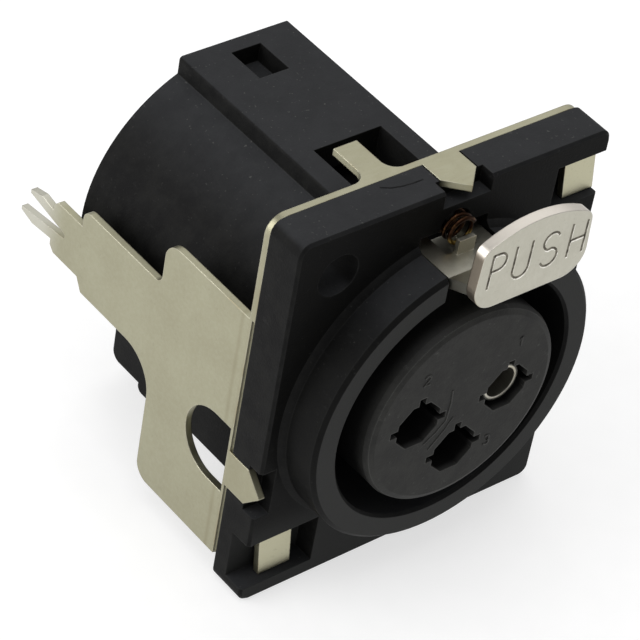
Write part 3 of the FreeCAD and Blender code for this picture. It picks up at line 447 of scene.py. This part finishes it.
def add_piece(name, mesh, material, smooth=False):
    """Turns a bmesh into an object of the scene."""
    bmesh.ops.recalc_face_normals(mesh, faces=mesh.faces)
    data = bpy.data.meshes.new(name)
    mesh.to_mesh(data)
    mesh.free()
    for face in data.polygons:
        face.use_smooth = smooth
    data.materials.append(material)
    piece = bpy.data.objects.new(name, data)
    bpy.context.scene.collection.objects.link(piece)
    return piece


def join_rings(mesh, rings):
    """Skins a row of vertex rings and closes its two ends."""
    sides = len(rings[0])
    for first, second in zip(rings, rings[1:]):
        for side in range(sides):
            following = (side + 1) % sides
            mesh.faces.new((first[side], first[following], second[following], second[side]))
    mesh.faces.new(reversed(rings[0]))
    mesh.faces.new(rings[-1])


# Latch spring: a wound coil in place of the faceted CAD one
def wound_coil(name, box, wire, turns, material):
    """A coil along Y that fills the box; the wire's radius is wire, and both its ends are closed."""
    low, high = box
    centre = (low + high) / 2
    radius = (high.x - low.x) / 2 - wire
    start, end = low.y + wire, high.y - wire
    start_angle = 0.6
    closed_turns, closed_pitch = 0.75, 0.28 * MM
    closed_length = closed_turns * closed_pitch
    steps, sides = 220, 14
    mesh = bmesh.new()
    rings = []
    for step in range(steps + 1):
        turned = turns * step / steps
        open_share = min(max((turned - closed_turns) / (turns - 2 * closed_turns), 0.0), 1.0)
        # Runs up to 0 over the first closed turns, and on from 0 over the last ones
        closed_turned = min(turned, closed_turns) - closed_turns + max(turned - turns + closed_turns, 0.0)
        along = (start + closed_length + (end - start - 2 * closed_length) * open_share
                 + closed_pitch * closed_turned)
        angle = 2 * math.pi * turned + start_angle
        out = Vector((math.cos(angle), 0, math.sin(angle)))
        place = Vector((centre.x, along, centre.z)) + out * radius
        ring = []
        for side in range(sides):
            turn = 2 * math.pi * side / sides
            ring.append(mesh.verts.new(
                place + out * wire * math.cos(turn) + Vector((0, 1, 0)) * wire * math.sin(turn)))
        rings.append(ring)
    join_rings(mesh, rings)
    return add_piece(name, mesh, material, smooth=True)


spring_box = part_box("latch_spring")
coil = wound_coil("spring_coil", spring_box, wire=0.16 * MM, turns=5.5, material=spring_brown)
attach(coil, "socket")
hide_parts("latch_spring")
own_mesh(coil)


# Word, figures, seams and crease: strokes drawn as thin ribbons on a flat face, in millimetres
ARC_STEPS = 10


def arc(x, z, across, up, start, stop):
    """Points on part of an ellipse; angles in degrees."""
    angles = [math.radians(start + (stop - start) * step / ARC_STEPS) for step in range(ARC_STEPS + 1)]
    return [(x + across * math.cos(angle), z + up * math.sin(angle)) for angle in angles]


def front_face(depth):
    """Places points on a face that looks forward: across, up and out of it."""
    return lambda across, up, out: Vector((across * MM, depth - out * MM, up * MM))


def top_face(height):
    """Places points on a face that looks up: across, back and out of it."""
    return lambda across, along, out: Vector((across * MM, along * MM, height + out * MM))


def ribbons(name, strokes, place, width, height, material, shift=(0.0, 0.0)):
    """Thin flat bars along each stroke, standing a hair proud of the face that place describes."""
    mesh = bmesh.new()
    for stroke in strokes:
        points = [Vector(point) + Vector(shift) for point in stroke]
        sections = []
        for index, point in enumerate(points):
            before = points[max(index - 1, 0)]
            after = points[min(index + 1, len(points) - 1)]
            half = (after - before).normalized().orthogonal() * width / 2
            corners = [(point + half, 0), (point - half, 0), (point - half, height), (point + half, height)]
            sections.append([mesh.verts.new(place(*spot, out)) for spot, out in corners])
        join_rings(mesh, sections)
    return add_piece(name, mesh, material)


PUSH = {
    "p": [[(-3.7, 13.85), (-3.66, 16.55)],
          [(-3.66, 16.5), (-3.1, 16.5), *arc(-3.1, 15.85, 0.6, 0.65, 90, -90), (-3.68, 15.2)]],
    "u": [[(-1.72, 16.5), (-1.75, 14.6), *arc(-1.1, 14.5, 0.66, 0.68, 180, 360), (-0.42, 16.5)]],
    "s": [[*arc(1.28, 15.8, 0.66, 0.68, 25, 250), *arc(1.26, 14.52, 0.68, 0.7, 80, -155)]],
    "h": [[(2.92, 13.85), (2.95, 16.5)], [(4.2, 13.85), (4.22, 16.4)], [(2.93, 15.15), (4.2, 15.15)]],
}
push_lines = [stroke for letter in PUSH.values() for stroke in letter]
# Each stroke is a ribbon of painted shade along a pressed letter's wall, with a ribbon of painted highlight
# just below it
for name, height, material, shift in (
        ("push_strokes", 0.012, letter_shadow, (0.0, 0.0)),
        ("push_glints", 0.009, letter_glint, (0.05, -0.12))):
    word = ribbons(name, push_lines, front_face(PAD_FACE), width=0.16, height=height,
                   material=material, shift=shift)
    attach(word, "push_latch")

FIGURES = {
    "one": [[(0.0, -0.4), (0.0, 0.4), (-0.18, 0.22)]],
    "two": [[*arc(0.0, 0.18, 0.23, 0.22, 170, -35), (-0.25, -0.4), (0.25, -0.4)]],
    "three": [[*arc(0.0, 0.2, 0.21, 0.2, 150, -90), *arc(0.0, -0.2, 0.24, 0.22, 90, -150)]],
}
FIGURE_PLACES = {"one": (4.25, 3.95), "two": (-3.83, 3.95), "three": (3.05, -4.35)}
SEAMS = [
    [(-1.27, 2.0), (-1.18, 0.85), (-1.3, -0.65), (-2.06, -1.45), (-2.95, -2.1)],
    [(-0.68, -0.64), (-1.26, -1.54), (-2.41, -2.8)],
]
CREASE = [(-4.85, 2.5), (-4.2, 2.12), (-3.44, 1.92), (-2.6, 1.84), (-1.8, 1.84)]

figure_lines = [[(x + FIGURE_PLACES[name][0], z + FIGURE_PLACES[name][1]) for x, z in stroke]
                for name, figure in FIGURES.items() for stroke in figure]
figures = ribbons("hole_figures", figure_lines, front_face(INSERT_FACE), width=0.13, height=0.05,
                  material=insert_black)
ridges = ribbons("insert_ridges", SEAMS, front_face(INSERT_FACE), width=0.12, height=0.04,
                 material=insert_black)
crease = ribbons("flange_crease", [CREASE], top_face(FLANGE_TOP), width=0.11, height=0.01,
                 material=crease_black)
for piece, slot in ((figures, "black_insert"), (ridges, "black_insert"), (crease, "black_moulding")):
    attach(piece, "socket")


# Floor, light and camera
FLOOR_SIZE = 3.0
WORLD_LIGHT = 0.4

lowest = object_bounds()[0].z
bpy.ops.mesh.primitive_plane_add(size=FLOOR_SIZE, location=(0, 0, lowest))
floor = bpy.context.object
floor.name = "floor"
floor.data.materials.append(pale_floor("pale_floor"))

world = bpy.data.worlds.new("studio")
bpy.context.scene.world = world
world.use_nodes = True
world.node_tree.nodes["Background"].inputs["Color"].default_value = (1.0, 1.0, 1.0, 1.0)
world.node_tree.nodes["Background"].inputs["Strength"].default_value = WORLD_LIGHT


def softbox(name, place, size, radiance):
    """A square light of the given side that faces the part; its power follows from its radiance."""
    light = bpy.data.lights.new(name, "AREA")
    light.shape = "SQUARE"
    light.size = size
    light.energy = radiance * math.pi * size ** 2
    box = bpy.data.objects.new(name, light)
    bpy.context.scene.collection.objects.link(box)
    box.location = place
    box.rotation_mode = "QUATERNION"
    box.rotation_quaternion = (-Vector(place)).to_track_quat("-Z", "Y")


softbox("top_light", place=(-0.06, -0.02, 0.4), size=0.3, radiance=1.8)
softbox("left_light", place=(-0.32, 0.15, 0.15), size=0.3, radiance=3.4)
softbox("back_light", place=(0.24, 0.24, 0.28), size=0.4, radiance=0.85)

CAMERA_PLACE = Vector((-119.435, -109.157, 138.053)) * MM
CAMERA_ROUND, CAMERA_UP, CAMERA_ROLL = (math.radians(angle) for angle in (-44.979, 39.971, 10.702))
CAMERA_LENS, CAMERA_SENSOR = 180.63, 36.0

back = Vector((
    math.sin(CAMERA_ROUND) * math.cos(CAMERA_UP),
    -math.cos(CAMERA_ROUND) * math.cos(CAMERA_UP),
    math.sin(CAMERA_UP)))
level = (-back).cross(Vector((0, 0, 1))).normalized()
upward = level.cross(-back)
right = math.cos(CAMERA_ROLL) * level + math.sin(CAMERA_ROLL) * upward
top = -math.sin(CAMERA_ROLL) * level + math.cos(CAMERA_ROLL) * upward

camera_data = bpy.data.cameras.new("camera")
camera = bpy.data.objects.new("camera", camera_data)
bpy.context.scene.collection.objects.link(camera)
camera_data.sensor_width = CAMERA_SENSOR
camera_data.lens = CAMERA_LENS
camera_data.clip_start = 0.01
camera_data.clip_end = 10.0
camera.matrix_world = Matrix.Translation(CAMERA_PLACE) @ Matrix((right, top, back)).transposed().to_4x4()
bpy.context.scene.camera = camera
bpy.context.scene.view_settings.view_transform = "Standard"

bpy.context.view_layer.update()
